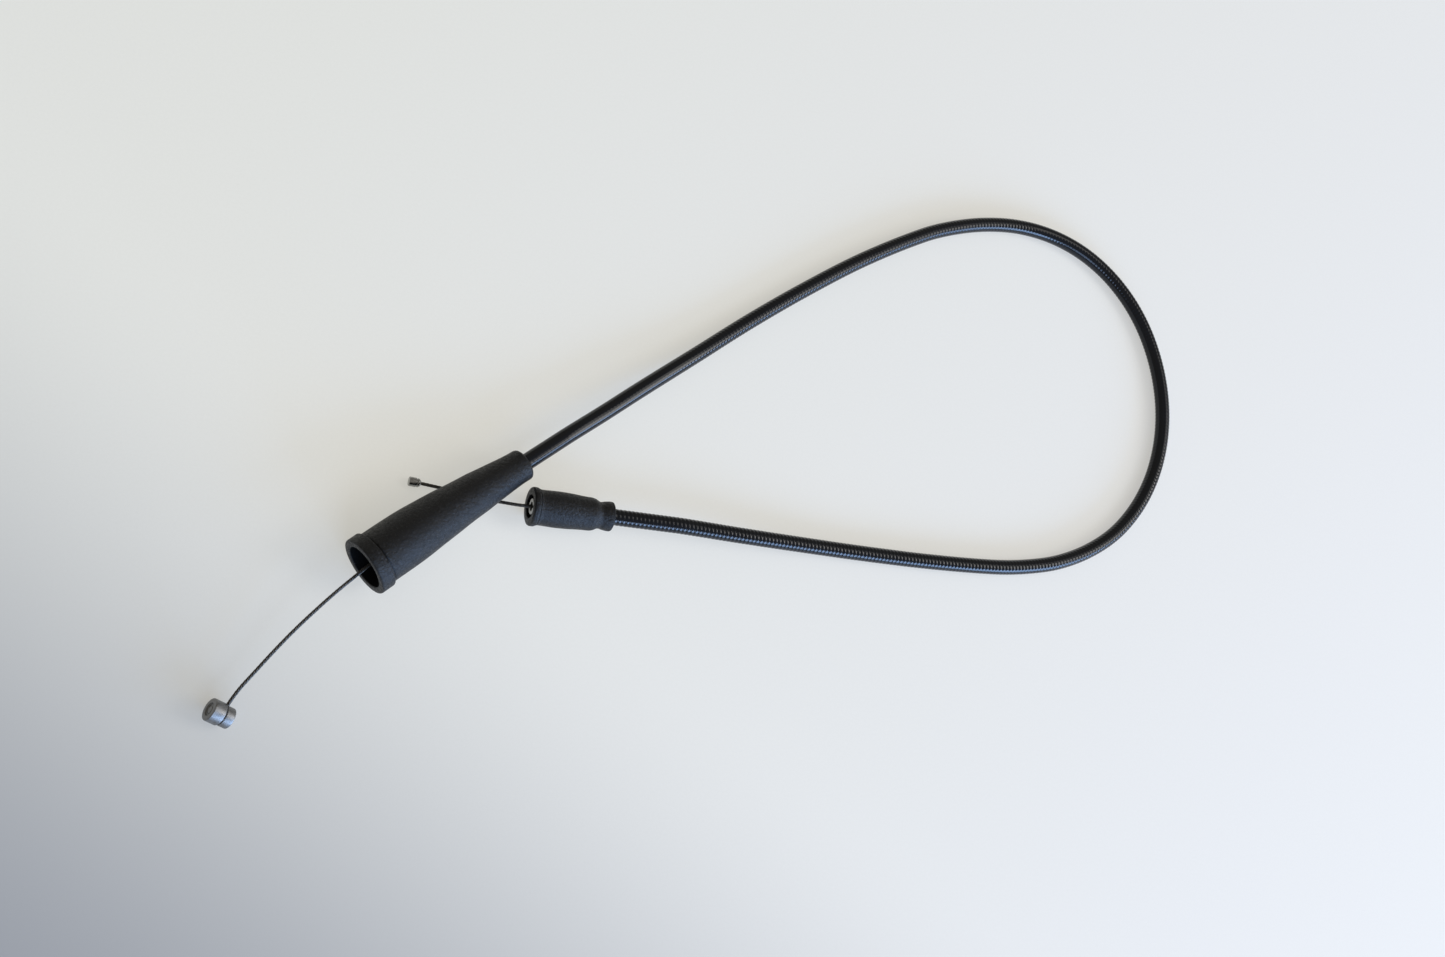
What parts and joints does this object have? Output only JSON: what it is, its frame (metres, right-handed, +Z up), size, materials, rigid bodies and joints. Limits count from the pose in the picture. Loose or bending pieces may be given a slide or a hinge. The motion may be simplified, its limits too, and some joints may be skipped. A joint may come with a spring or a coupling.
{
  "type": "throttle cable",
  "caption": "Throttle cable: jacketed spiral conduit with a sliding stranded inner wire, cast grip nipple, small end nipple, long tapered rubber boot and short rubber cap.",
  "frame": {"origin": "centre of the cable's outline as it lies, on the table that it rests on", "axes": "+X along the longest extent, from the nipples' side towards the conduit's loop; +Z up off the table"},
  "size_m": [0.4527, 0.2588, 0.0242],
  "materials": {
    "sheath": "extruded black plastic, satin, with the spiral's ribs showing through",
    "armour": "flat steel wire wound in a close spiral",
    "liner": "plain white plastic tube",
    "strand": "stranded galvanised steel wire, dull grey",
    "zinc": "die-cast zinc, satin grey",
    "plated": "bright zinc-plated steel",
    "rubber": "moulded black rubber, matte, slightly dusty"
  },
  "bodies": {
    "conduit": {"outer_jacket": "sheath", "spiral_armour": "armour", "inner_liner": "liner", "wire_core": "strand", "grip_ferrule": "plated", "carb_ferrule": "plated"},
    "grip_end": {"grip_wire": "strand", "grip_nipple": "zinc"},
    "carb_end": {"carb_wire": "strand", "carb_nipple": "plated"},
    "boot": {"grip_boot": "rubber"},
    "cap": {"carb_cap": "rubber"}
  },
  "joints": [
    {"name": "grip_wire_slide", "type": "slide", "parent": "conduit", "child": "grip_end", "axis": [-0.7973, -0.603, 0.0244], "range_m": [-0.025, 0.005]},
    {"name": "carb_wire_slide", "type": "slide", "parent": "conduit", "child": "carb_end", "axis": [0.9945, -0.1045, 0], "range_m": [-0.025, 0.005], "deforming": ["carb_wire"]},
    {"name": "boot_slide", "type": "slide", "parent": "conduit", "child": "boot", "axis": [-0.7973, -0.603, 0.0244], "range_m": [-0.002, 0.01]},
    {"name": "cap_slide", "type": "slide", "parent": "conduit", "child": "cap", "axis": [0.9993, -0.0366, 0], "range_m": [0, 0.025]}
  ],
  "couplings": [
    {"joint": "carb_wire_slide", "follows": "grip_wire_slide", "ratio": 1}
  ]
}
